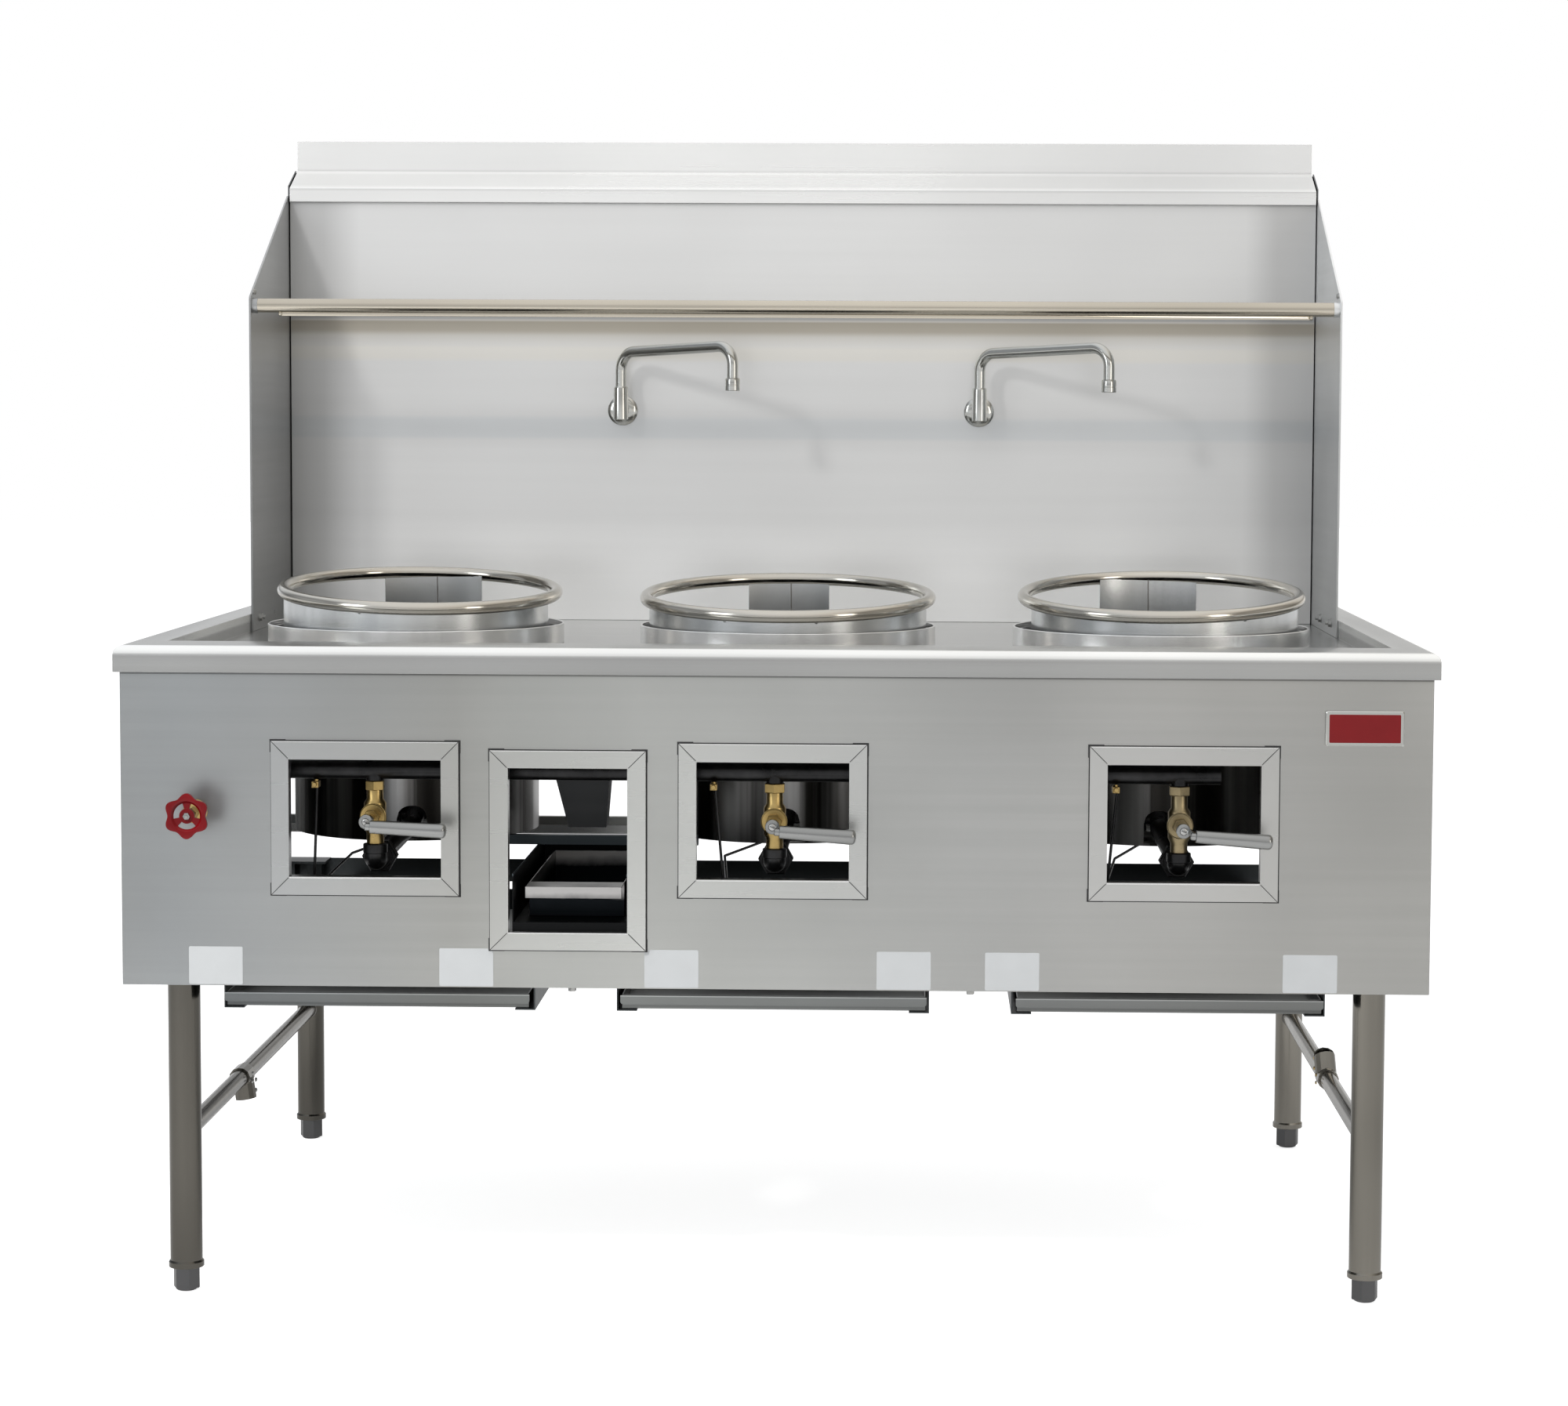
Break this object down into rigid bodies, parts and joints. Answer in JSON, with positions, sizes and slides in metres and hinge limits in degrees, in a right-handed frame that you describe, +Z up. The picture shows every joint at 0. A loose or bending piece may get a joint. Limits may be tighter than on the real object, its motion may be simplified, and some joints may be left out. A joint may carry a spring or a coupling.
{
  "type": "wok range",
  "caption": "Free-standing stainless wok range: three tilted wok rings, sunken deck, backsplash with wings, rail and swing faucets, lever valves in framed windows, pull-out drip trays.",
  "frame": {"origin": "floor level, under the middle of the bounding box", "axes": "+X to the right seen from the front, +Y from the front to the backsplash, +Z up"},
  "size_m": [1.83, 1.1956, 1.689],
  "materials": {
    "panel_steel": "brushed satin",
    "frame_steel": "brushed satin",
    "deck_steel": "brushed satin",
    "wall_steel": "soft mirror-brushed",
    "cap_steel": "brushed satin",
    "wing_steel": "brushed satin",
    "riser_dark": "dull mill finish",
    "collar_steel": "rolled satin",
    "ring_steel": "polished",
    "rail_steel": "polished",
    "faucet_chrome": "polished",
    "tray_steel": "mill finish",
    "inner_steel": "dull mill finish",
    "pan_steel": "satin, sooted inside",
    "rack_dark": "dark mill finish",
    "iron": "black oiled",
    "brass": "cast and machined",
    "lever_alloy": "satin",
    "wheel_red": "gloss enamel",
    "leg_steel": "polished tube",
    "foot_grey": "satin"
  },
  "bodies": {
    "range": {"body_shell": "panel_steel", "front_panel": "panel_steel", "window_frame_left": "frame_steel", "window_frame_mid": "frame_steel", "window_frame_right": "frame_steel", "pan_window_frame": "frame_steel", "deck": "deck_steel", "backsplash": "wall_steel", "riser_cap": "cap_steel", "wing_left": "wing_steel", "wing_right": "wing_steel", "riser_box": "riser_dark", "collar_left": "collar_steel", "collar_mid": "collar_steel", "collar_right": "collar_steel", "rail_tube": "rail_steel", "faucet_base_left": "faucet_chrome", "faucet_base_right": "faucet_chrome", "base_frame": "inner_steel", "chute": "rack_dark", "pan_rack": "rack_dark", "manifold": "iron", "burner_left": "iron", "burner_mid": "iron", "burner_right": "iron", "chamber_left": "iron", "chamber_mid": "iron", "chamber_right": "iron", "valve_left": "brass", "valve_mid": "brass", "valve_right": "brass", "pilot_left": "brass", "pilot_mid": "brass", "pilot_right": "brass", "water_valve": "brass", "leg_front_left": "leg_steel", "leg_front_right": "leg_steel", "leg_rear_left": "leg_steel", "leg_rear_right": "leg_steel", "brace_left": "leg_steel", "brace_right": "leg_steel", "tee_clamp_left": "leg_steel", "tee_clamp_right": "leg_steel"},
    "lever_left": {"lever_left": "lever_alloy"},
    "lever_mid": {"lever_mid": "lever_alloy"},
    "lever_right": {"lever_right": "lever_alloy"},
    "wok_ring_left": {"wok_ring_left": "ring_steel"},
    "wok_ring_mid": {"wok_ring_mid": "ring_steel"},
    "wok_ring_right": {"wok_ring_right": "ring_steel"},
    "tray_left": {"tray_left": "tray_steel"},
    "tray_mid": {"tray_mid": "tray_steel"},
    "tray_right": {"tray_right": "tray_steel"},
    "catch_pan": {"catch_pan": "pan_steel"},
    "handwheel": {"handwheel": "wheel_red"},
    "spout_left": {"spout_left": "faucet_chrome"},
    "spout_right": {"spout_right": "faucet_chrome"},
    "foot_front_left": {"foot_front_left": "foot_grey"},
    "foot_front_right": {"foot_front_right": "foot_grey"},
    "foot_rear_left": {"foot_rear_left": "foot_grey"},
    "foot_rear_right": {"foot_rear_right": "foot_grey"}
  },
  "joints": [
    {"name": "lever_left_turn", "type": "hinge", "parent": "range", "child": "lever_left", "pos_m": [-0.561, -0.54925, 0.674], "axis": [0, 1, 0], "range_deg": [0, 90]},
    {"name": "lever_mid_turn", "type": "hinge", "parent": "range", "child": "lever_mid", "pos_m": [-0.001, -0.54925, 0.671], "axis": [0, 1, 0], "range_deg": [0, 90]},
    {"name": "lever_right_turn", "type": "hinge", "parent": "range", "child": "lever_right", "pos_m": [0.563, -0.54925, 0.669], "axis": [0, 1, 0], "range_deg": [0, 90]},
    {"name": "wok_ring_left_lift", "type": "slide", "parent": "range", "child": "wok_ring_left", "axis": [0, 0, 1], "range_m": [0, 0.2]},
    {"name": "wok_ring_mid_lift", "type": "slide", "parent": "range", "child": "wok_ring_mid", "axis": [0, 0, 1], "range_m": [0, 0.2]},
    {"name": "wok_ring_right_lift", "type": "slide", "parent": "range", "child": "wok_ring_right", "axis": [0, 0, 1], "range_m": [0, 0.2]},
    {"name": "tray_left_pull", "type": "slide", "parent": "range", "child": "tray_left", "axis": [0, -1, 0], "range_m": [0, 0.8]},
    {"name": "tray_mid_pull", "type": "slide", "parent": "range", "child": "tray_mid", "axis": [0, -1, 0], "range_m": [0, 0.8]},
    {"name": "tray_right_pull", "type": "slide", "parent": "range", "child": "tray_right", "axis": [0, -1, 0], "range_m": [0, 0.8]},
    {"name": "catch_pan_pull", "type": "slide", "parent": "range", "child": "catch_pan", "axis": [0, -1, 0], "range_m": [0, 0.38]},
    {"name": "handwheel_turn", "type": "hinge", "parent": "range", "child": "handwheel", "pos_m": [-0.802, -0.58225, 0.684], "axis": [0, -1, 0], "range_deg": [0, 720]},
    {"name": "spout_left_swing", "type": "hinge", "parent": "range", "child": "spout_left", "pos_m": [-0.298, 0.48575, 1.275], "axis": [0, 0, 1], "range_deg": [-140, 40]},
    {"name": "spout_right_swing", "type": "hinge", "parent": "range", "child": "spout_right", "pos_m": [0.298, 0.48575, 1.275], "axis": [0, 0, 1], "range_deg": [-142.2, 37.8]},
    {"name": "foot_front_left_adjust", "type": "slide", "parent": "range", "child": "foot_front_left", "axis": [0, 0, -1], "range_m": [0, 0.02]},
    {"name": "foot_front_right_adjust", "type": "slide", "parent": "range", "child": "foot_front_right", "axis": [0, 0, -1], "range_m": [0, 0.02]},
    {"name": "foot_rear_left_adjust", "type": "slide", "parent": "range", "child": "foot_rear_left", "axis": [0, 0, -1], "range_m": [0, 0.02]},
    {"name": "foot_rear_right_adjust", "type": "slide", "parent": "range", "child": "foot_rear_right", "axis": [0, 0, -1], "range_m": [0, 0.02]}
  ]
}
